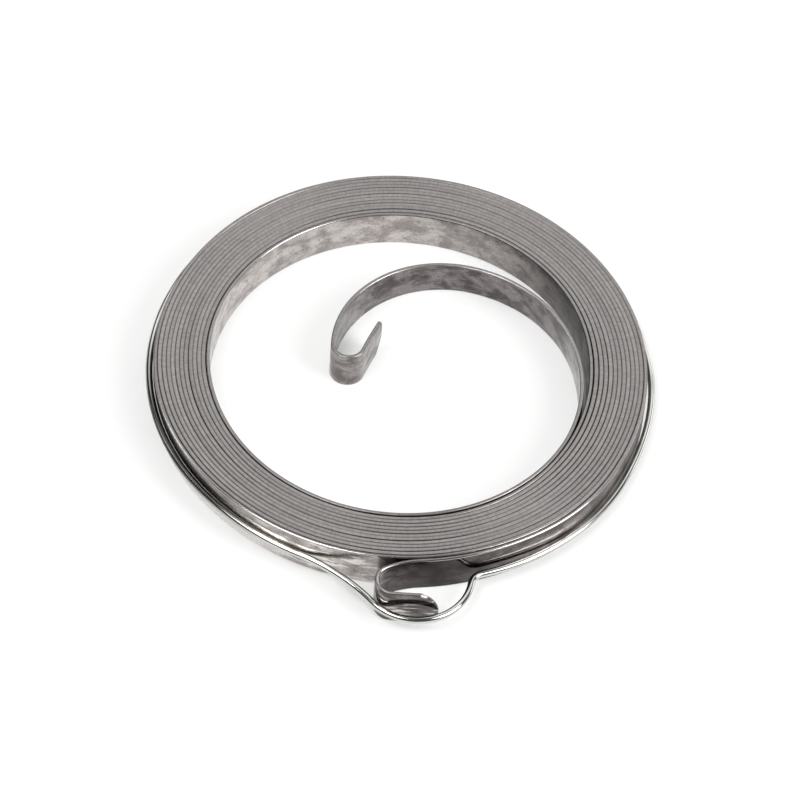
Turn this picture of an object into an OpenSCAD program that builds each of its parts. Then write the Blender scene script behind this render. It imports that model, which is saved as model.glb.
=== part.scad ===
// Recoil starter spring: a steel strip wound on edge into a flat coil, with a hook
// at each end, and the round wire ring that keeps it wound until it is fitted.
// It lies flat with the strip's lower edges on z = 0 and the outer hook at the front, -Y.

/* [Strip] */
// Width of the strip, which is the height of the coil
strip_w = 6.2; // [5:0.1:10]
// Thickness of the strip
strip_t = 0.5; // [0.35:0.01:0.55]

/* [Coil] */
// Diameter over the outermost turn
coil_od = 70; // [62:1:90]
// Turns of strip, counted where the arm leaves the coil
turns = 14; // [8:1:16]
// Free space between neighbouring turns
turn_gap = 0.09; // [0.06:0.01:0.25]
// Extra space outside the innermost turn at the front
inner_slack = 0.12; // [0:0.01:0.3]
// How far the slack outermost turn bows out of round
bow = 0.3; // [0.2:0.02:0.5]
// Where the front bow peaks, round from +X
front_bow_at = -41; // [-50:1:-30]
// Angle that the front bow spans
front_bow_span = 52; // [40:1:60]
// Where the side bow peaks, round from +X
side_bow_at = 198; // [190:1:202]
// Angle that the side bow spans
side_bow_span = 90; // [60:1:96]

/* [Outer hook] */
// Where the strip leaves the coil for the hook, round from +X
hook_from = -81.5; // [-84:0.5:-78]
// Radius of the easy reverse bend that leads into the hook
hook_ease_r = 14; // [10:0.5:20]
// Angle of that easy bend
hook_ease_turn = 21; // [15:0.5:26]
// Inside radius of the hook
hook_in_r = 2; // [1.5:0.1:2.6]
// Angle that the hook is bent through
hook_turn = 150; // [142:0.5:160]
// Leg after the hook, to its rounded end
hook_leg = 6.6; // [5.5:0.1:8]
// Radius that the leg is bowed to, toward the coil
hook_leg_r = 60; // [40:5:200]
// How far above the lower edge the leg's domed end is centred
hook_tip_rise = 2; // [1:0.1:3]
// How far past the upper edge the round of that dome would reach
hook_tip_past = 0.4; // [0.1:0.05:3]

/* [Arm and inner hook] */
// How much tighter than the innermost turn the arm's first bend is
arm_tighten_1 = 0.8; // [0.4:0.1:1.5]
// Angle of the arm's first bend
arm_turn_1 = 50.5; // [42:0.5:58]
// How much tighter than the innermost turn the arm's second bend is
arm_tighten_2 = 3.5; // [2.5:0.1:4.5]
// Angle of the arm's second bend
arm_turn_2 = 60; // [52:0.5:68]
// How much tighter than the innermost turn the arm's third bend is
arm_tighten_3 = 7.4; // [6:0.1:9]
// Angle of the arm's third bend
arm_turn_3 = 59.5; // [52:0.5:68]
// How much tighter than the innermost turn the arm's last bend is
arm_tighten_4 = 11; // [9.5:0.1:12]
// Angle of the arm's last bend
arm_turn_4 = 101.5; // [92:0.5:110]
// Inside radius of the inner hook
eye_in_r = 2; // [1.5:0.1:3]
// Angle that the inner hook is bent through
eye_turn = 160.5; // [150:0.5:170]
// Leg after the inner hook
eye_leg = 6; // [5:0.1:9]
// Radius that the inner leg is bowed to, away from the arm
eye_leg_r = 60; // [40:5:200]
// How far below the upper edge the inner leg's domed end is centred
eye_tip_drop = 2; // [1:0.1:3]
// How far past the lower edge the round of that dome would reach
eye_tip_past = 1.8; // [0.1:0.05:3]

/* [Retaining wire] */
// Diameter of the wire
wire_d = 1; // [0.8:0.05:1.4]
// Clearance between the ring and the outermost turn
wire_clear = 0.1; // [0.08:0.01:0.4]
// Height of the middle of the ring above the strip's lower edges
wire_z = 2.95; // [2.4:0.05:3.1]
// Tilt of the ring, down toward +X
wire_tilt = 1.5; // [0:0.1:2.5]
// Sideways step from the hook's bend centre to the middle of the wire's front loop
loop_out = 2.9; // [2.5:0.1:3.4]
// Step back from the hook's bend centre to the middle of that loop
loop_back = 3.7; // [3.3:0.1:4.3]
// Clearance between the loop and the hook
loop_clear = 0.1; // [0.08:0.01:0.5]
// Bend radius, on the wire's centreline, where the ring runs into the loop on the left
loop_left_r = 28; // [18:1:36]
// Bend radius, on the wire's centreline, where the loop runs back into the ring on the right
loop_right_r = 2; // [1.5:0.5:4]
// Where the two wire ends meet, round from +X
wire_ends_at = 115; // [100:1:140]
// Open space between the two wire ends
wire_ends_gap = 0.8; // [0.4:0.1:3]

/* [Hidden] */
$fn = 96;
// Cuts run this far past what they cut
over = 1;
// Every second bend of the strip, and of the wire, is thinner by this much
strip_step = 0.01;
wire_step = 0.02;
// A thinner bend runs this far into the ends of its neighbours
lap = 0.08;
pitch = strip_t + turn_gap;
// Centreline of the first turn at the front
first_r = coil_od / 2 - strip_t / 2;
hook_r = hook_in_r + strip_t / 2;
eye_r = eye_in_r + strip_t / 2;

// A run of strip or wire is a list of [radius, angle] bends, left turns positive
// and right turns negative. A place on it is [x, y, heading].
function after(place, bend) =
    let(r = bend[0], h = place[2], g = h + sign(r) * bend[1])
    [place[0] + r * (sin(g) - sin(h)), place[1] - r * (cos(g) - cos(h)), g];
function places(place, run, i = 0) =
    i == len(run) ? [place] : concat([place], places(after(place, run[i]), run, i + 1));
function bend_centre(place, r) =
    [place[0] - r * sin(place[2]), place[1] + r * cos(place[2])];
function reversed(run) = [for (b = run) [-b[0], b[1]]];
function turn_for(long, r) = long / r * 180 / PI;

// The coil is wound in half turns about two centres, half a turn step apart, so that
// each half turn meets the next in one smooth line and the turns stay evenly spaced.
function half_turn_r(i) = first_r - (i / 2 + 1 / 4) * pitch;

// A bow is a flat bend, a sharp one and a flat one, and it ends on the round it left
function bow_flat(span) = 2 * bow / (1 - cos(span / 2));
function bow_ease(span) =
    let(f = bow_flat(span), e = f - bow / 2)
    atan2(e * sin(span / 2), f + e * cos(span / 2));
function bowed(r, span) =
    let(f = bow_flat(span), a = bow_ease(span))
    [[r + f, a], [r + 1.5 * bow - f, span - 2 * a], [r + f, a]];

// Outward from the front, where the first turn ends, round its left side to the back
side_r = half_turn_r(1);
side_run = reversed(concat(
    [[side_r, 270 - side_bow_at - side_bow_span / 2]],
    bowed(side_r, side_bow_span),
    [[side_r, side_bow_at - side_bow_span / 2 - 90]]
));
side_places = places([0, pitch - first_r, 180], side_run);

// On from the back, round the right side to the outer hook and its leg
front_r = half_turn_r(0);
front_run = concat(
    reversed(concat(
        [[front_r, 90 - front_bow_at - front_bow_span / 2]],
        bowed(front_r, front_bow_span),
        [[front_r, front_bow_at - front_bow_span / 2 - hook_from]]
    )),
    [[hook_ease_r, hook_ease_turn], [hook_r, hook_turn]]
);
front_places = places([0, first_r - pitch / 2, 0], front_run);
hook_end = front_places[len(front_run)];
hook_centre = bend_centre(hook_end, hook_r);
hook_leg_bend = [hook_leg_r, turn_for(hook_leg, hook_leg_r)];
hook_tip = bend_centre(after(hook_end, hook_leg_bend), -strip_t / 2);

// Inward from the back, where the even turns end, to the arm and the inner hook
last_half = 2 * turns - 3;
last_r = half_turn_r(last_half) - inner_slack / 2;
inner_run = [
    [last_r, 180],
    [last_r - arm_tighten_1, arm_turn_1],
    [last_r - arm_tighten_2, arm_turn_2],
    [last_r - arm_tighten_3, arm_turn_3],
    [last_r - arm_tighten_4, arm_turn_4],
    [eye_r, eye_turn]
];
inner_places = places([0, first_r - pitch * last_half / 2, 180], inner_run);
eye_end = inner_places[len(inner_run)];
eye_leg_bend = [-eye_leg_r, turn_for(eye_leg, eye_leg_r)];

// The ring lies along the outermost turn: parallel to it on the left, and on the right
// one round that clears the front bow, off centre by half of it
left_centre = [0, pitch / 4];
left_r = side_r + strip_t / 2 + wire_clear + wire_d / 2;
right_centre = bow / 2 * [cos(front_bow_at), sin(front_bow_at)];
right_r = coil_od / 2 + bow / 2 + wire_clear + wire_d / 2;
// The loop of the wire goes clear round the hook's bend and its tip
loop_centre = hook_centre + [loop_out, loop_back];
loop_reach = max(norm(loop_centre - hook_centre) + hook_in_r + strip_t, norm(loop_centre - hook_tip));
loop_r = loop_reach + loop_clear + wire_d / 2;

// Angle of a triangle between sides a and b, facing side c
function corner(a, b, c) = acos((a * a + b * b - c * c) / (2 * a * b));
function direction(v) = atan2(v[1], v[0]);
// A bend of radius f joins a ring of radius r to the loop, d from the ring's centre
function at_ring(d, r, f) = corner(d, r + f, loop_r + f);
function at_loop(d, r, f) = corner(d, loop_r + f, r + f);
function at_bend(d, r, f) = corner(r + f, loop_r + f, d);
left_d = norm(loop_centre - left_centre);
left_dir = direction(loop_centre - left_centre);
left_leaves = left_dir + 360 - at_ring(left_d, left_r, loop_left_r);
right_d = norm(loop_centre - right_centre);
right_dir = direction(loop_centre - right_centre);
right_meets = right_dir + at_ring(right_d, right_r, loop_right_r);
round_hook = 360 + right_dir - left_dir
    - at_loop(left_d, left_r, loop_left_r) - at_loop(right_d, right_r, loop_right_r);
half_apart = turn_for(wire_ends_gap, right_r) / 2;
wire_start = wire_ends_at + half_apart;
wire_run = concat(
    [[left_r, side_bow_at - side_bow_span / 2 - wire_start]],
    bowed(left_r, side_bow_span),
    [[left_r, left_leaves - side_bow_at - side_bow_span / 2]],
    [[-loop_left_r, at_bend(left_d, left_r, loop_left_r)]],
    [[loop_r, round_hook]],
    [[-loop_right_r, at_bend(right_d, right_r, loop_right_r)]],
    [[right_r, wire_ends_at - half_apart - right_meets]]
);
wire_from = left_centre + left_r * [cos(wire_start), sin(wire_start)];
wire_places = places([wire_from[0], wire_from[1], wire_start + 90], wire_run);

// The middle of the outline in plan goes to x = 0, y = 0
side_peak = bend_centre(wire_places[2], wire_run[2][0]);
left_x = (side_peak[0] - wire_run[2][0]) * cos(wire_tilt) - wire_d / 2;
right_x = (right_centre[0] + right_r) * cos(wire_tilt) + wire_d / 2;
back_y = right_centre[1] + right_r + wire_d / 2;
front_y = loop_centre[1] - loop_r - wire_d / 2;
to_middle = [-(left_x + right_x) / 2, -(back_y + front_y) / 2, 0];

// Sweeps a section along one bend, past both of its ends by the given length
module bend(place, bend, past = 0) {
    r = bend[0];
    c = bend_centre(place, r);
    more = turn_for(past, abs(r));
    from = r > 0 ? place[2] - 90 : place[2] + 90 - bend[1];
    translate([c[0], c[1], 0])
        rotate_extrude(start = from - more, angle = bend[1] + 2 * more)
            translate([abs(r), 0])
                children();
}

// Flat strip standing on edge, about its centreline
module strip_section(thin = false) {
    t = thin ? strip_t - strip_step : strip_t;
    translate([-t / 2, 0])
        square([t, strip_w]);
}

// Strip along a run, every second bend thin, which are the odd ones or the even ones
module lay_strip(run, at, odd_thin) {
    for (i = [0 : len(run) - 1]) {
        thin = (i % 2 == 1) == odd_thin;
        bend(at[i], run[i], thin ? lap : 0)
            strip_section(thin);
    }
}

// The even turns, in half turns to the right and to the left of the middle
module even_turns() {
    for (i = [2 : last_half - 1]) {
        right = i % 2 == 0;
        translate([0, (right ? -1 : 1) * pitch / 4, 0])
            rotate_extrude(start = right ? -90 : 90, angle = 180)
                translate([half_turn_r(i), 0])
                    strip_section();
    }
}

// End of the strip, cut to an outline in length and height
module leg(place, bend) {
    intersection() {
        bend(place, bend, lap + over)
            strip_section(true);
        translate([place[0], place[1], 0])
            rotate(place[2])
                rotate([90, 0, 0])
                    linear_extrude(strip_t + 4 * over, center = true)
                        children();
    }
}

// Outline of a leg's end: a dome centred at height z, of radius r
module domed_end(long, z, r) {
    translate([-lap, -over])
        square([max(lap, long - r + lap), strip_w + 2 * over]);
    intersection() {
        translate([-lap, -over])
            square([long + lap + over, strip_w + 2 * over]);
        translate([long - r, z])
            circle(r);
    }
}

module spring_strip() {
    color("#8f8a88")
        translate(to_middle)
            union() {
                even_turns();
                lay_strip(side_run, side_places, true);
                lay_strip(front_run, front_places, true);
                leg(hook_end, hook_leg_bend)
                    domed_end(hook_leg, hook_tip_rise, strip_w - hook_tip_rise + hook_tip_past);
                lay_strip(inner_run, inner_places, false);
                leg(eye_end, eye_leg_bend)
                    domed_end(eye_leg, strip_w - eye_tip_drop, strip_w - eye_tip_drop + eye_tip_past);
            }
}

module retaining_wire() {
    color("#c3c4bf")
        translate(to_middle)
            translate([0, 0, wire_z])
                rotate([0, wire_tilt, 0])
                    for (i = [0 : len(wire_run) - 1]) {
                        thin = i % 2 == 1;
                        bend(wire_places[i], wire_run[i], thin ? lap : 0)
                            circle(d = thin ? wire_d - wire_step : wire_d);
                    }
}

spring_strip();
retaining_wire();
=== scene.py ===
import math

import bpy
import numpy as np
from mathutils import Matrix, Vector


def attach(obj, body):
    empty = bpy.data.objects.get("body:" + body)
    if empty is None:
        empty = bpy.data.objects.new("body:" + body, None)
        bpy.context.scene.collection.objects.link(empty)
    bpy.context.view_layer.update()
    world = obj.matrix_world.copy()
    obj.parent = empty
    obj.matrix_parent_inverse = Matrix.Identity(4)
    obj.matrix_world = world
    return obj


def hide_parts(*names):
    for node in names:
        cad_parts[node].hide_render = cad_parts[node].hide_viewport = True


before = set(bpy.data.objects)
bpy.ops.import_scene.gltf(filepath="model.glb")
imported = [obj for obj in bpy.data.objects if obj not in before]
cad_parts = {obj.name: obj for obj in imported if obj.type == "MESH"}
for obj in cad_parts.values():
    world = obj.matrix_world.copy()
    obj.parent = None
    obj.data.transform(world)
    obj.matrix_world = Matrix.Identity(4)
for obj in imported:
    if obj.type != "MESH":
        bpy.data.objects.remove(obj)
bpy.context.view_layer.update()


# The spring: one length of hardened steel strip, cold rolled, wound on edge into a flat coil of
# fourteen turns. Its outer end is bent back into a hook at the front, and its inner end runs as a
# free arm to a second hook, with both ends cut round. Sizes are in mm and angles in degrees.

MM = 0.001
strip_w, strip_t = 6.2, 0.5
coil_r = 35.0
coil_centre = (-0.2492, 3.2195)
turns, turn_gap = 14, 0.09
turn_step = strip_t + turn_gap
last_turn_slack = 0.06
slack_bow = 0.3
front_bow_at, front_bow_span = -41, 52
left_bow_at, left_bow_span = -162, 90
after_front_bow = 14.5
hook_lead_r, hook_lead_turn = 14, 21
hook_mid_r = 2 + strip_t / 2
outer_hook_turn, outer_leg = 150, 6.6
inner_hook_turn, inner_leg = 160.5, 6.0
leg_r = 60
arm_bends = [(0.8, 50.5), (3.5, 60), (7.4, 59.5), (11, 101.5)]


def to_left(place, far):
    """The point that lies far to the left of a place on a line, given as x, y and heading."""
    x, y, heading = place
    return x - far * math.sin(math.radians(heading)), y + far * math.cos(math.radians(heading))


def bend_stations(place, run, step=1.0):
    """Places along a run of [radius, angle] bends, left turns positive, closer together on tight ones."""
    rows = [place]
    for radius, turn in run:
        middle, heading = to_left(rows[-1], radius), rows[-1][2]
        count = max(2, math.ceil(math.radians(turn) * abs(radius) / min(step, 0.1 * abs(radius))))
        for i in range(1, count + 1):
            turned = heading + math.copysign(turn * i / count, radius)
            rows.append((*to_left((*middle, turned), -radius), turned))
    return rows


def half_turn_r(i):
    """Radius of the coil's half turn i, which are wound about two centres half a step apart."""
    return coil_r - strip_t / 2 - (i / 2 + 1 / 4) * turn_step


def bowed(radius, span):
    """A slack stretch that bows out of round: flat, sharp and flat bends, ending on the round it left."""
    half = math.radians(span / 2)
    flat = 2 * slack_bow / (1 - math.cos(half))
    sharp = flat - slack_bow / 2
    ease = math.degrees(math.atan2(sharp * math.sin(half), flat + sharp * math.cos(half)))
    return [[radius + flat, ease], [radius + 1.5 * slack_bow - flat, span - 2 * ease], [radius + flat, ease]]


def lengths_along(line):
    """How far along a line each of its places is."""
    return np.concatenate([[0], np.cumsum(np.hypot(np.diff(line[:, 0]), np.diff(line[:, 1])))])


# The strip's middle line starts from one place at the front. It runs clockwise from there to the
# outer end and anticlockwise to the inner one, and is then put together from the outer end on.
last_half = 2 * turns - 3
side_r, front_r, last_r = half_turn_r(1), half_turn_r(0), half_turn_r(last_half) - last_turn_slack
to_left_bow = -90 - (left_bow_at + left_bow_span / 2)
to_front_bow = 90 - (front_bow_at + front_bow_span / 2)
outer_turn = [[side_r, to_left_bow], *bowed(side_r, left_bow_span)]
outer_turn += [[side_r, 180 - to_left_bow - left_bow_span], [front_r, to_front_bow]]
outer_turn += [*bowed(front_r, front_bow_span), [front_r, after_front_bow]]
outward = [[-radius, turn] for radius, turn in outer_turn]
outward += [[hook_lead_r, hook_lead_turn], [hook_mid_r, outer_hook_turn]]
inward = [[half_turn_r(i), 180] for i in range(2, last_half)] + [[last_r, 180]]
arm = [[last_r - tighter, turn] for tighter, turn in arm_bends] + [[hook_mid_r, inner_hook_turn]]
start = (0.0, turn_step + strip_t / 2 - coil_r)
to_hook = bend_stations((*start, 180.0), outward)
to_eye = bend_stations((*start, 0.0), inward + arm)
hook_tip = bend_stations(to_hook[-1], [[leg_r, math.degrees(outer_leg / leg_r)]], step=0.16)
eye_tip = bend_stations(to_eye[-1], [[-leg_r, math.degrees(inner_leg / leg_r)]], step=0.15)
from_hook = [(x, y, heading - 180) for x, y, heading in (to_hook + hook_tip[1:])[::-1]]
line = np.array(from_hook + to_eye[1:] + eye_tip[1:])
line[:, :2] += coil_centre

# Each place on the line is known by its length along the strip, by its angle round the coil, and by
# the turns wound since the front hook and the turns left to the arm.
along = lengths_along(line)
strip_long = along[-1]
hook_starts = along[len(hook_tip) - 1]
hook_past = hook_starts + 12
arm_starts = strip_long - inner_leg - sum(math.radians(turn) * radius for radius, turn in arm)
round_at = np.degrees(np.arctan2(line[:, 1] - coil_centre[1], line[:, 0] - coil_centre[0]))
winding = np.radians(line[:, 2] - line[0, 2])
turns_in = (winding - winding[np.searchsorted(along, hook_past)]) / (2 * math.pi)
turns_left = (winding[np.searchsorted(along, arm_starts)] - winding) / (2 * math.pi)


def fade(values):
    """A fade from 0 to 1, held at either end."""
    return np.clip(values, 0, 1)


def hump(off):
    """A smooth hump that is 1 where off is 0 and 0 from where off is 1."""
    return np.where(off < 1, 0.5 + 0.5 * np.cos(math.pi * off), 0)


def patch(places, middle, reach, top=1.0):
    """A patch that fades out from its middle; with a top above 1 it is full for a stretch first."""
    return fade(top - np.abs(places - middle) / reach)


# The turns don't lie quite evenly: each stands a little high or low and a little in or out. The next
# turns follow the slack of the outermost one by less and less, the last ones are pulled inward
# beside the arm, and in three places two turns stand apart. The free arm leans inward.
in_coil = fade((along - hook_starts - 10) / 25) * fade((arm_starts - along) / 25)
most_lift = 0.05
lift = most_lift / 2 * (1 + np.sin(0.41 * winding + 0.8) * in_coil)
waver = 0.006 * np.sin(0.37 * winding + 1.0) + 0.005 * np.sin(0.83 * winding + 2.2)
shift = waver * in_coil
second_turn = 0.97
follows = np.where(turns_in > second_turn, fade(1.1 - turns_in / 10), 0)
for bow_at, bow_span in ((front_bow_at, front_bow_span), (left_bow_at, left_bow_span)):
    off_bow = np.abs((round_at - bow_at + 180) % 360 - 180) / (bow_span / 2)
    shift -= follows * slack_bow * hump(off_bow)
pull_in, pull_at, pull_front, pull_back = 0.64, -2, 40, 28
pull_kept = 0.8
pull_share = np.where(turns_left > 0, pull_kept ** (turns_left - 0.75), 0)
off_pull = (round_at - pull_at) / np.where(round_at < pull_at, pull_front, pull_back)
shift += pull_share * pull_in * np.exp(-off_pull ** 2)
for turn, half_span, apart in ((7.80, 0.13, 0.03), (10.486, 0.12, 0.018), (4.98, 0.10, 0.022)):
    shift -= apart * hump(np.abs(turns_in - turn) / half_span)
    shift += apart * hump(np.abs(turns_in - turn - 1) / half_span)
arm_lean = math.radians(6)
lean = arm_lean * fade((along - arm_starts - 30) / 30) * fade((strip_long - 20 - along) / 18)


def dome(from_tip, radius):
    """Half the height of a round end at a distance from its tip."""
    return np.sqrt(radius ** 2 - np.clip(radius - from_tip, 0, radius) ** 2)


# Each end is cut to a dome, the outer one centred near the lower edge and the inner near the upper.
dome_mid, outer_dome_r, inner_dome_r = 2.0, 4.6, 6.0
outer_dome, inner_dome = dome(along, outer_dome_r), dome(strip_long - along, inner_dome_r)
low = np.maximum(dome_mid - outer_dome, strip_w - dome_mid - inner_dome).clip(0, None)
high = np.minimum(dome_mid + outer_dome, strip_w - dome_mid + inner_dome).clip(None, strip_w)
least_height = 0.25
keep = high - low > least_height

# The slit edges are nearly square inside the coil, where the burr makes them a little thicker and
# they lie packed, tighter at the back than at the front. They are rubbed rounder and brighter on the
# outermost turn at the front, on the innermost turn at the back, and less so on the hooks and arm;
# the brighter colour is partly a painted highlight, put only where the highlights fall.
burr, less_at_front = 0.065, 0.03
inner_rub_highlight, end_rub_highlight = 0.75, 0.45
to_front = fade(-np.sin(np.radians(round_at)))
packed_t = strip_t + burr - less_at_front * to_front
on_arm = fade(-8 * turns_left - 1.2) * np.clip((strip_long - 8 - along) / 12, 0.4, 1)
at_end = np.maximum(fade(-40 * turns_in), on_arm)
outermost, innermost = fade(11 - 10 * turns_in), fade(10.5 - 10 * turns_left)
edge_r = 0.03 + 0.045 * to_front + 0.15 * np.maximum(outermost, innermost)
edge_r = np.minimum(edge_r, 0.45 * (high - low))
outer_rub_and_highlight = np.maximum(outermost * fade(2 * to_front) * (1 - at_end), end_rub_highlight * at_end)
back_left = patch(round_at, 130, 30, 1.5)
inner_rub_and_highlight = np.maximum(inner_rub_highlight * innermost * back_left * (1 - at_end), end_rub_highlight * at_end)

# The strip's section is a ring of points: six round each corner, and one in the middle of the top.
corner_points = 6
corners = [(1, 1, 0), (-1, 1, 90), (-1, -1, 180), (1, -1, 270)]
corner_angles = [90 * k / (corner_points - 1) for k in range(corner_points)]
ring = [(side, level, math.radians(first + more)) for side, level, first in corners for more in corner_angles]
ring.insert(corner_points, (0, 1, math.pi / 2))
mid_edge = np.array([float(side == 0) for side, level, angle in ring])
strip_heading = np.radians(line[:, 2])
points = np.zeros((len(along), len(ring), 3))
up_mm, rub_and_highlight = np.zeros(points.shape[:2]), np.zeros(points.shape[:2])
for k, (side, level, angle) in enumerate(ring):
    height = np.where(level > 0, high - edge_r, low + edge_r) + edge_r * math.sin(angle)
    sideways = side * (packed_t / 2 - edge_r) + edge_r * math.cos(angle)
    sideways += shift + (height - strip_w / 2) * np.tan(lean)
    points[:, k, 0] = line[:, 0] - np.sin(strip_heading) * sideways
    points[:, k, 1] = line[:, 1] + np.cos(strip_heading) * sideways
    points[:, k, 2] = height + lift
    up_mm[:, k] = height
    on_upper_corner = 0.1 < math.sin(angle) < 0.99
    if on_upper_corner:
        rub_and_highlight[:, k] = outer_rub_and_highlight if side < 0 else inner_rub_and_highlight
points, up_mm, rub_and_highlight, along = points[keep], up_mm[keep], rub_and_highlight[keep], along[keep]

# A brown-grey tint darkens the arm and the inner hook. Painted shade darkens the front hook, the
# stretch of the outer face that leads to it and the wedge where the arm leaves the coil; it is nearly
# black inside the front hook and in the wedge, darker towards the top there, and darker inside the
# inner hook's bend and on the front hook's leg. Painted dark reflections darken the outer face at the
# right and at the front left. The outer face is dull at the right, and at the front left its lower
# half is painted pale, a painted reflection of the white floor. Places are lengths along the strip
# from its outer end.
wedge = arm_starts - math.pi * last_r
arm_tint = 0.95 * fade((along - arm_starts) / 30) * (1 - 0.3 * fade((along - strip_long + 26) / 8))
hook_shade = 0.9 * fade((95 - along) / 40)
wedge_shade = 0.9 * fade((wedge - along - 9) / 28) * fade((along - wedge + 95) / 30)
tint_and_shade = np.maximum.reduce([arm_tint, hook_shade, wedge_shade])
# Painted shade inside the front hook, on its leg and inside the inner hook's bend, painted dark reflections
# on the outer face at the right and at the front left, and painted shade in the wedge, darker towards the
# top.
hook_inside_shade, leg_shade = patch(along, hook_starts + 13, 16), 0.25 * fade((13 - along) / 4)
right_dark_reflection, left_dark_reflection = 0.7 * patch(along, 72, 25), 0.85 * patch(along, 190, 24, 1.3)
eye_inside_shade = 0.5 * patch(along, strip_long - 15, 5, 1.2)
wedge_top_shade = patch(along, wedge - 29, 32)[:, None] * (0.6 + 0.4 * up_mm / strip_w)
painted_shade = np.maximum.reduce([hook_inside_shade, leg_shade, right_dark_reflection, left_dark_reflection, eye_inside_shade])
painted_shade = np.maximum(painted_shade[:, None], wedge_top_shade)
dull = patch(along, 78, 30, 1.5)
# A painted reflection of the white floor: the lower outer face at the front left painted pale.
painted_floor_reflection = (fade((along - 185) / 12) * fade((219 - along) / 8))[:, None] * fade((2.6 - up_mm) / 0.8)


def swept_mesh(name, points, marks):
    """A closed mesh of quads from rows of section points, with marks: numbers for the material to read."""
    rows, sides = points.shape[:2]
    faces = [
        (i * sides + k, i * sides + (k + 1) % sides, (i + 1) * sides + (k + 1) % sides, (i + 1) * sides + k)
        for i in range(rows - 1)
        for k in range(sides)
    ]
    faces += [tuple(range(sides))[::-1], tuple(range((rows - 1) * sides, rows * sides))]
    mesh = bpy.data.meshes.new(name)
    mesh.from_pydata((points.reshape(-1, 3) * MM).tolist(), [], faces)
    mesh.validate()
    mesh.shade_smooth()
    for mark, values in marks.items():
        kept = mesh.attributes.new(mark, "FLOAT", "POINT")
        kept.data.foreach_set("value", np.broadcast_to(values, (rows, sides)).astype(np.float32).ravel())
    piece = bpy.data.objects.new(name, mesh)
    bpy.context.scene.collection.objects.link(piece)
    return piece


# Of these marks, the edge brightening is partly a painted highlight, the darker tint partly and the dark
# patches wholly painted shade and painted dark reflections, and the pale lower stretch a painted reflection
# of the white floor.
spring_marks = {
    "along_mm": along[:, None],
    "up_mm": up_mm,
    "rub_and_highlight": rub_and_highlight,
    "mid_edge": mid_edge,
    "tint_and_shade": tint_and_shade[:, None],
    "painted_shade": painted_shade,
    "dull": dull[:, None],
    "painted_floor_reflection": painted_floor_reflection,
}
spring = swept_mesh("spring", points, spring_marks)


def linear(code):
    """An sRGB hex colour as linear RGBA."""
    parts = [int(code[i:i + 2], 16) / 255 for i in (1, 3, 5)]
    return [p / 12.92 if p <= 0.04045 else ((p + 0.055) / 1.055) ** 2.4 for p in parts] + [1.0]


def bare_material(name):
    """A new material, and its node tree with nothing in it."""
    made = bpy.data.materials.new(name)
    made.use_nodes = True
    made.node_tree.nodes.clear()
    return made, made.node_tree


def add(tree, kind, inputs=(), out=0, **settings):
    """Adds a node and gives its output; inputs maps a socket to a value or to another node's output."""
    made = tree.nodes.new("ShaderNode" + kind)
    for key, value in settings.items():
        setattr(made, key, value)
    for key, value in dict(inputs).items():
        if isinstance(value, bpy.types.NodeSocket):
            tree.links.new(value, made.inputs[key])
        else:
            made.inputs[key].default_value = value
    return made.outputs[out] if made.outputs else None


# Cold-rolled spring steel: a satin mirror with cloudy brown-grey stains and specks on its faces, a
# darker tint on the arm, painted shade and painted reflections in places, fine rolling lines along its
# length, and duller, grainy slit edges, brighter where rubbed and there partly a painted highlight.
strip_steel, tree = bare_material("cold_rolled_spring_steel_stains_and_painted_shade")
at = {mark: add(tree, "Attribute", out="Fac", attribute_name=mark) for mark in spring_marks}
on_strip = add(tree, "CombineXYZ", {"X": at["along_mm"], "Y": at["up_mm"]})

# Each pattern's length along the strip and height across it. Real rolling lines are a few hundredths
# of a mm apart and the grain of a slit edge is as fine, so both are drawn coarser, to show.
patterns = {
    "cloud": (3.4, 2.4, {"Detail": 6.0, "Roughness": 0.66, "Distortion": 0.4}),
    "speck": (1.1, 0.9, {"Detail": 2.0}),
    "streak": (4.0, 0.75, {"Detail": 2.0}),
    "rolling_line": (14.0, 0.22, {"Detail": 3.0}),
    "grain": (0.35, 0.35, {"Detail": 3.0}),
    "turn_tone": (45.0, math.inf, {"Detail": 2.0}),
}
noise = {}
for name, (long, tall, look) in patterns.items():
    scaled = add(tree, "VectorMath", {0: on_strip, 1: (1 / long, 1 / tall, 1)}, operation="MULTIPLY")
    noise[name] = add(tree, "TexNoise", {"Vector": scaled, "Scale": 1.0, **look})

# The faces: clean steel, or tinted and painted-shaded steel, in clouds, then specks, painted
# reflections of the wire as pale streaks on the front hook's leg and by the wire's loop, painted shade
# and painted dark reflections, and the pale painted reflection of the white floor. A Mix node's
# colours are its sockets 6 and 7 and its output 2.
pale = add(tree, "MapRange", {"Value": noise["cloud"], "From Min": 0.41, "From Max": 0.59})
clean = add(tree, "Mix", {0: pale, 6: linear("#a09997"), 7: linear("#cdc7c3")}, 2, data_type="RGBA")
tinted_and_shaded = add(tree, "Mix", {0: pale, 6: linear("#4f4948"), 7: linear("#868080")}, 2, data_type="RGBA")
face = add(tree, "Mix", {0: at["tint_and_shade"], 6: clean, 7: tinted_and_shaded}, 2, data_type="RGBA")
speck_range = {"From Min": 0.60, "From Max": 0.70, "To Max": 0.45}
specked = add(tree, "MapRange", {"Value": noise["speck"], **speck_range})
face = add(tree, "Mix", {0: specked, 6: face, 7: linear("#6a6260")}, 2, data_type="RGBA")
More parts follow.
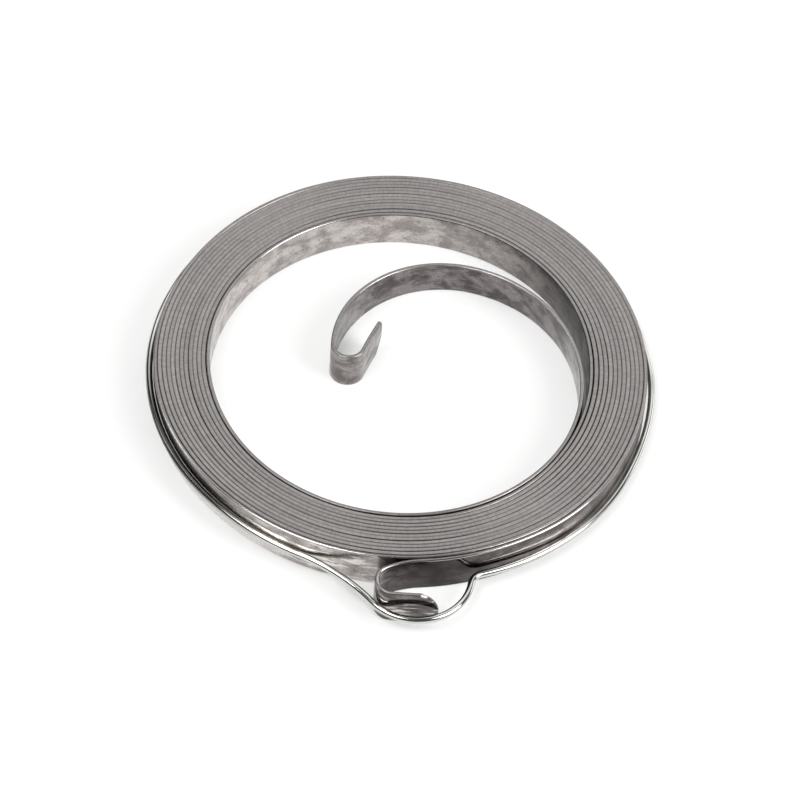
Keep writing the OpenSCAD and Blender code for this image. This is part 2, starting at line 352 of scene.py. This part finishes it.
# Painted reflections of the wire: pale streaks on the front hook's leg and beside the wire's loop.
leg_range = {"From Min": 8.0, "From Max": 14.0, "To Min": 0.95, "To Max": 0.0}
on_leg = add(tree, "MapRange", {"Value": at["along_mm"], **leg_range})
loop_range = {"From Min": 205.0, "From Max": 212.0, "To Max": 0.95}
from_loop = add(tree, "MapRange", {"Value": at["along_mm"], **loop_range})
before_hook = add(tree, "Math", {0: at["along_mm"], 1: 232.0}, operation="LESS_THAN")
by_loop = add(tree, "Math", {0: from_loop, 1: before_hook}, operation="MULTIPLY")
by_wire = add(tree, "Math", {0: on_leg, 1: by_loop}, operation="ADD")
wire_reflection_streaks = add(tree, "MapRange", {"Value": noise["streak"], "From Min": 0.52, "From Max": 0.62})
painted_wire_reflection = add(tree, "Math", {0: wire_reflection_streaks, 1: by_wire}, operation="MULTIPLY")
face = add(tree, "Mix", {0: painted_wire_reflection, 6: face, 7: linear("#ece8e4")}, 2, data_type="RGBA")
shaded = add(tree, "Math", {0: at["painted_shade"], 1: 0.92}, operation="MULTIPLY")
face = add(tree, "Mix", {0: shaded, 6: face, 7: linear("#2b2726")}, 2, data_type="RGBA")
face = add(tree, "Mix", {0: at["painted_floor_reflection"], 6: face, 7: linear("#efebe7")}, 2, data_type="RGBA")

# The slit edges: each turn a little lighter or darker, paler in the middle and darker at the sides,
# a painted shade beside the gaps between turns, and bright where rubbed, partly a painted highlight.
edge_tone = add(tree, "MapRange", {"Value": noise["turn_tone"], "From Min": 0.3, "From Max": 0.7})
edge_mid = add(tree, "Mix", {0: edge_tone, 6: linear("#959190"), 7: linear("#aca8a6")}, 2, data_type="RGBA")
shaded_edge_side = add(tree, "Mix", {0: edge_tone, 6: linear("#8a8684"), 7: linear("#9d9997")}, 2, data_type="RGBA")
to_mid = add(tree, "MapRange", {"Value": at["mid_edge"], "From Max": 0.65}, interpolation_type="SMOOTHSTEP")
edge = add(tree, "Mix", {0: to_mid, 6: shaded_edge_side, 7: edge_mid}, 2, data_type="RGBA")
edge_range = {"From Min": strip_w - 0.10, "From Max": strip_w - 0.04}
on_edge = add(tree, "MapRange", {"Value": at["up_mm"], **edge_range})
whole = add(tree, "Mix", {0: on_edge, 6: face, 7: edge}, 2, data_type="RGBA")
grain_range = {"From Min": 0.3, "From Max": 0.7, "To Min": 0.82, "To Max": 1.08}
grained = add(tree, "MapRange", {"Value": noise["grain"], **grain_range})
whole = add(tree, "Mix", {0: 1.0, 6: whole, 7: grained}, 2, data_type="RGBA", blend_type="MULTIPLY")
# Brighter where rubbed: partly rubbed steel, partly a painted highlight.
rub_highlight = add(tree, "Math", {0: at["rub_and_highlight"], 1: 0.8}, operation="MULTIPLY")
colour = add(tree, "Mix", {0: rub_highlight, 6: whole, 7: linear("#dcd8d5")}, 2, data_type="RGBA")

# The gloss: dark stains are rougher than pale steel, the front hook is smoothest, the dull stretch
# and the slit edges are roughest, and the rubbed edges are polished.
rough = add(tree, "MapRange", {"Value": pale, "To Min": 0.26, "To Max": 0.15})
hook_range = {"From Min": 22.0, "From Max": 45.0, "To Min": 0.5, "To Max": 1.0}
by_hook = add(tree, "MapRange", {"Value": at["along_mm"], **hook_range})
rough = add(tree, "Math", {0: rough, 1: by_hook}, operation="MULTIPLY")
for where, roughness in ((at["dull"], 0.60), (on_edge, 0.40), (at["rub_and_highlight"], 0.16)):
    rough = add(tree, "Mix", {0: where, 2: rough, 3: roughness}, data_type="FLOAT")
relief = add(tree, "Math", {0: noise["rolling_line"], 1: noise["grain"]}, operation="ADD")
bump = add(tree, "Bump", {"Height": relief, "Strength": 0.2, "Distance": 0.02 * MM})
metal = {"Base Color": colour, "Metallic": 1.0, "Roughness": rough, "Normal": bump}
add(tree, "OutputMaterial", {"Surface": add(tree, "BsdfPrincipled", metal)})
spring.data.materials.append(strip_steel)
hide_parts("spring_strip")
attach(spring, "root")


# The retaining wire: one length of bright drawn steel wire bent into an open ring that grips the
# outermost turn, with a loop at the front that goes round the hook. It is pulled off when the
# spring is fitted, and its two cut ends stand a little apart at the back.

wire_d = 1.0
wire_z, wire_tilt = 2.95, math.radians(1.5)
wire_gap = 0.1
beside = wire_gap + wire_d / 2
lead_in, lead_out = 28, 2
loop_right, loop_back = 2.9, 3.7
ends_at, ends_apart = 115, 0.8
end_chamfer = 0.08
wire_sides = 24

# The ring follows the outermost turn and its bow at the left, and is a wider arc at the right that
# clears the front bow. The loop clears the hook's bend and tip, and a bend on either side leads to it.
left_middle, left_r = (0.0, turn_step / 4), side_r + strip_t / 2 + beside
bow_dir = math.radians(front_bow_at)
right_middle = (slack_bow / 2 * math.cos(bow_dir), slack_bow / 2 * math.sin(bow_dir))
right_r = coil_r + slack_bow / 2 + beside
hook_middle = to_left(to_hook[-1], hook_mid_r)
tip_out = to_left(hook_tip[-1], -strip_t / 2)
loop_middle = (hook_middle[0] + loop_right, hook_middle[1] + loop_back)
bend_out = math.dist(loop_middle, hook_middle) + hook_mid_r + strip_t / 2
loop_r = max(bend_out, math.dist(loop_middle, tip_out)) + beside


def corner(a, b, c):
    """Angle of a triangle between sides a and b, facing side c."""
    return math.degrees(math.acos((a * a + b * b - c * c) / (2 * a * b)))


def bearing(a, b):
    """Direction from a to b in degrees."""
    return math.degrees(math.atan2(b[1] - a[1], b[0] - a[0]))


left_d, left_dir = math.dist(left_middle, loop_middle), bearing(left_middle, loop_middle)
right_d, right_dir = math.dist(right_middle, loop_middle), bearing(right_middle, loop_middle)
left_leaves = left_dir + 360 - corner(left_d, left_r + lead_in, loop_r + lead_in)
right_meets = right_dir + corner(right_d, right_r + lead_out, loop_r + lead_out)
round_hook = 360 + right_dir - left_dir - corner(left_d, loop_r + lead_in, left_r + lead_in)
round_hook -= corner(right_d, loop_r + lead_out, right_r + lead_out)
half_apart = math.degrees(ends_apart / 2 / right_r)
wire_starts = ends_at + half_apart
bow_starts = 360 + left_bow_at - left_bow_span / 2
wire_run = [[left_r, bow_starts - wire_starts], *bowed(left_r, left_bow_span)]
wire_run += [[left_r, left_leaves - bow_starts - left_bow_span]]
wire_run += [[-lead_in, corner(left_r + lead_in, loop_r + lead_in, left_d)], [loop_r, round_hook]]
wire_run += [[-lead_out, corner(right_r + lead_out, loop_r + lead_out, right_d)]]
wire_run += [[right_r, ends_at - half_apart - right_meets]]
first_end = to_left((*left_middle, wire_starts + 90), -left_r)
wire_line = np.array(bend_stations((*first_end, wire_starts + 90), wire_run, step=0.6))
wire_along = lengths_along(wire_line)
wire_at = np.degrees(np.arctan2(wire_line[:, 1], wire_line[:, 0]))

# At the right the wire lies closer to the strip than a plain arc does.
hug, hug_at, hug_span = 0.34, -17, 15
hugs = hug * np.exp(-((wire_at - hug_at) / hug_span) ** 2)
wire_line[:, 0] -= hugs * np.cos(np.radians(wire_at))
wire_line[:, 1] -= hugs * np.sin(np.radians(wire_at))

wire_half = np.full(len(wire_line), wire_d / 2)
wire_half[[0, -1]] -= end_chamfer
wire_heading = np.radians(wire_line[:, 2])
around = np.radians(np.arange(0, 360, 360 / wire_sides))
wire_points = np.zeros((len(wire_line), len(around), 3))
for k, angle in enumerate(around):
    flat_x = wire_line[:, 0] - np.sin(wire_heading) * wire_half * math.cos(angle)
    flat_y = wire_line[:, 1] + np.cos(wire_heading) * wire_half * math.cos(angle)
    flat_z = wire_half * math.sin(angle)
    wire_points[:, k, 0] = flat_x * math.cos(wire_tilt) + flat_z * math.sin(wire_tilt) + coil_centre[0]
    wire_points[:, k, 1] = flat_y + coil_centre[1]
    wire_points[:, k, 2] = flat_z * math.cos(wire_tilt) - flat_x * math.sin(wire_tilt) + wire_z
# The wire's stretch at the left is painted black: a painted dark reflection.
wire_marks = {
    "along_mm": wire_along[:, None],
    "around_mm": around * wire_d / 2,
    "painted_dark_reflection": patch(wire_at % 360, 207, 25, 1.3)[:, None],
}
wire = swept_mesh("wire", wire_points, wire_marks)

# Bright drawn steel wire: nearly a mirror, so it goes from black to white along its round, with
# faint drawing lines along its length, a few duller stretches, and one stretch at the left painted
# black, a painted dark reflection.
# Real drawing lines are a few hundredths of a mm apart, so they are drawn coarser, to show.
wire_steel, tree = bare_material("bright_drawn_steel_wire")
at = {mark: add(tree, "Attribute", out="Fac", attribute_name=mark) for mark in wire_marks}
on_wire = add(tree, "CombineXYZ", {"X": at["along_mm"], "Y": at["around_mm"]})
patterns = {"drawing_line": (20.0, 0.12, {"Detail": 3.0}), "dull_spot": (6.0, 1.5, {"Detail": 4.0})}
noise = {}
for name, (long, tall, look) in patterns.items():
    scaled = add(tree, "VectorMath", {0: on_wire, 1: (1 / long, 1 / tall, 1)}, operation="MULTIPLY")
    noise[name] = add(tree, "TexNoise", {"Vector": scaled, "Scale": 1.0, **look})
dulled = add(tree, "MapRange", {"Value": noise["dull_spot"], "From Min": 0.4, "From Max": 0.7})
bare = add(tree, "Mix", {0: dulled, 6: linear("#d9dad6"), 7: linear("#b9b8b2")}, 2, data_type="RGBA")
darkened_by_reflection = add(tree, "Math", {0: at["painted_dark_reflection"], 1: 0.9}, operation="MULTIPLY")
colour = add(tree, "Mix", {0: darkened_by_reflection, 6: bare, 7: linear("#3a3837")}, 2, data_type="RGBA")
rough = add(tree, "MapRange", {"Value": dulled, "To Min": 0.10, "To Max": 0.24})
bump = add(tree, "Bump", {"Height": noise["drawing_line"], "Strength": 0.2, "Distance": 0.01 * MM})
metal = {"Base Color": colour, "Metallic": 1.0, "Roughness": rough, "Normal": bump}
add(tree, "OutputMaterial", {"Surface": add(tree, "BsdfPrincipled", metal)})
wire.data.materials.append(wire_steel)
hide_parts("retaining_wire")
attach(wire, "root")


# The floor: a sheet of matt white paper that the spring lies on, flat and with no edge in sight. It
# is six metres wide, so that it fills every view.

paper_half = 3.0
paper_corners = [(paper_half * x, paper_half * y, 0) for x, y in ((-1, -1), (1, -1), (1, 1), (-1, 1))]
paper = bpy.data.meshes.new("floor")
paper.from_pydata(paper_corners, [], [(0, 1, 2, 3)])
floor = bpy.data.objects.new("floor", paper)
bpy.context.scene.collection.objects.link(floor)

# Matt white paper: an even white that keeps the soft shadow of what lies on it. Its share of even
# white, which the camera and the metal see, fades out in narrow corners, where little light falls.
white_paper, tree = bare_material("matt_white_paper")
shown = 0.0
for ray in ("Is Camera Ray", "Is Glossy Ray", "Is Transmission Ray"):
    shown = add(tree, "Math", {0: shown, 1: add(tree, "LightPath", out=ray)}, operation="MAXIMUM")
open_sky = add(tree, "AmbientOcclusion", {"Distance": 8 * MM}, "AO", samples=2)
sky_range = {"From Min": 0.12, "From Max": 0.42, "To Max": 0.65}
in_open = add(tree, "MapRange", {"Value": open_sky, **sky_range})
even_share = add(tree, "Math", {0: shown, 1: in_open}, operation="MULTIPLY")
matt = add(tree, "BsdfDiffuse", {"Color": linear("#f4f4f3"), "Roughness": 0.5})
even = add(tree, "Emission", {"Color": linear("#ffffff"), "Strength": 1.0})
add(tree, "OutputMaterial", {"Surface": add(tree, "MixShader", {0: even_share, 1: matt, 2: even})})
paper.materials.append(white_paper)


# The light: soft boxes at the right, overhead, behind and, fainter, at the left and low at the right
# back, in a dim grey room. Each box stands about a metre off and faces the spring.

def soft_box(name, direction, far, wide, high, watts):
    """A soft box that faces the spring from the given direction, with its sizes in metres."""
    lamp = bpy.data.lights.new(name, "AREA")
    lamp.shape = "RECTANGLE"
    lamp.size, lamp.size_y, lamp.energy = wide, high, watts
    box = bpy.data.objects.new(name, lamp)
    bpy.context.scene.collection.objects.link(box)
    box.location = Vector(direction).normalized() * far
    box.rotation_mode = "QUATERNION"
    box.rotation_quaternion = Vector(direction).to_track_quat("Z", "Y")


soft_box("right_box", (0.72, -0.28, 0.62), far=0.9, wide=0.45, high=0.6, watts=7.5)
soft_box("over_box", (-0.33, -0.30, 0.90), far=1.0, wide=0.5, high=0.4, watts=5.5)
soft_box("back_box", (0.1, 0.63, 0.78), far=1.1, wide=1.2, high=0.8, watts=3.4)
soft_box("left_box", (-0.72, 0.21, 0.66), far=1.0, wide=0.2, high=0.5, watts=1.2)
soft_box("right_back_box", (0.80, 0.60, 0.10), far=0.9, wide=0.7, high=0.5, watts=2.0)
room = bpy.data.worlds.new("room")
bpy.context.scene.world = room
room.use_nodes = True
room.node_tree.nodes.clear()
walls = add(room.node_tree, "Background", {"Color": linear("#ffffff"), "Strength": 0.08})
add(room.node_tree, "OutputWorld", {"Surface": walls})
bpy.context.scene.view_settings.view_transform = "Standard"


# The camera: above the front of the spring and rolled a little, with a long lens. It stands where the
# lines between the turns fall as they do in the photograph, and aims at the middle of the coil, about
# a fifth of the way up the strip.

lens_up, lens_roll = math.radians(51.25), math.radians(4.73)
lens_mm, sensor_mm = 191.7, 36
lens_shift = (0.001, -0.0215)
lens_far, aim_up = 603.42, 1.209
aim = Vector((*coil_centre, aim_up)) * MM
ahead = Vector((0, math.cos(lens_up), -math.sin(lens_up)))
above = Vector((0, math.sin(lens_up), math.cos(lens_up)))
aside = Vector((1, 0, 0))
picture_right = math.cos(lens_roll) * aside + math.sin(lens_roll) * above
picture_up = math.cos(lens_roll) * above - math.sin(lens_roll) * aside
lens = bpy.data.cameras.new("camera")
lens.lens, lens.sensor_width = lens_mm, sensor_mm
lens.shift_x, lens.shift_y = lens_shift
camera = bpy.data.objects.new("camera", lens)
bpy.context.scene.collection.objects.link(camera)
facing = Matrix((picture_right, picture_up, -ahead)).transposed().to_4x4()
camera.matrix_world = Matrix.Translation(aim - ahead * lens_far * MM) @ facing
bpy.context.scene.camera = camera

bpy.context.view_layer.update()
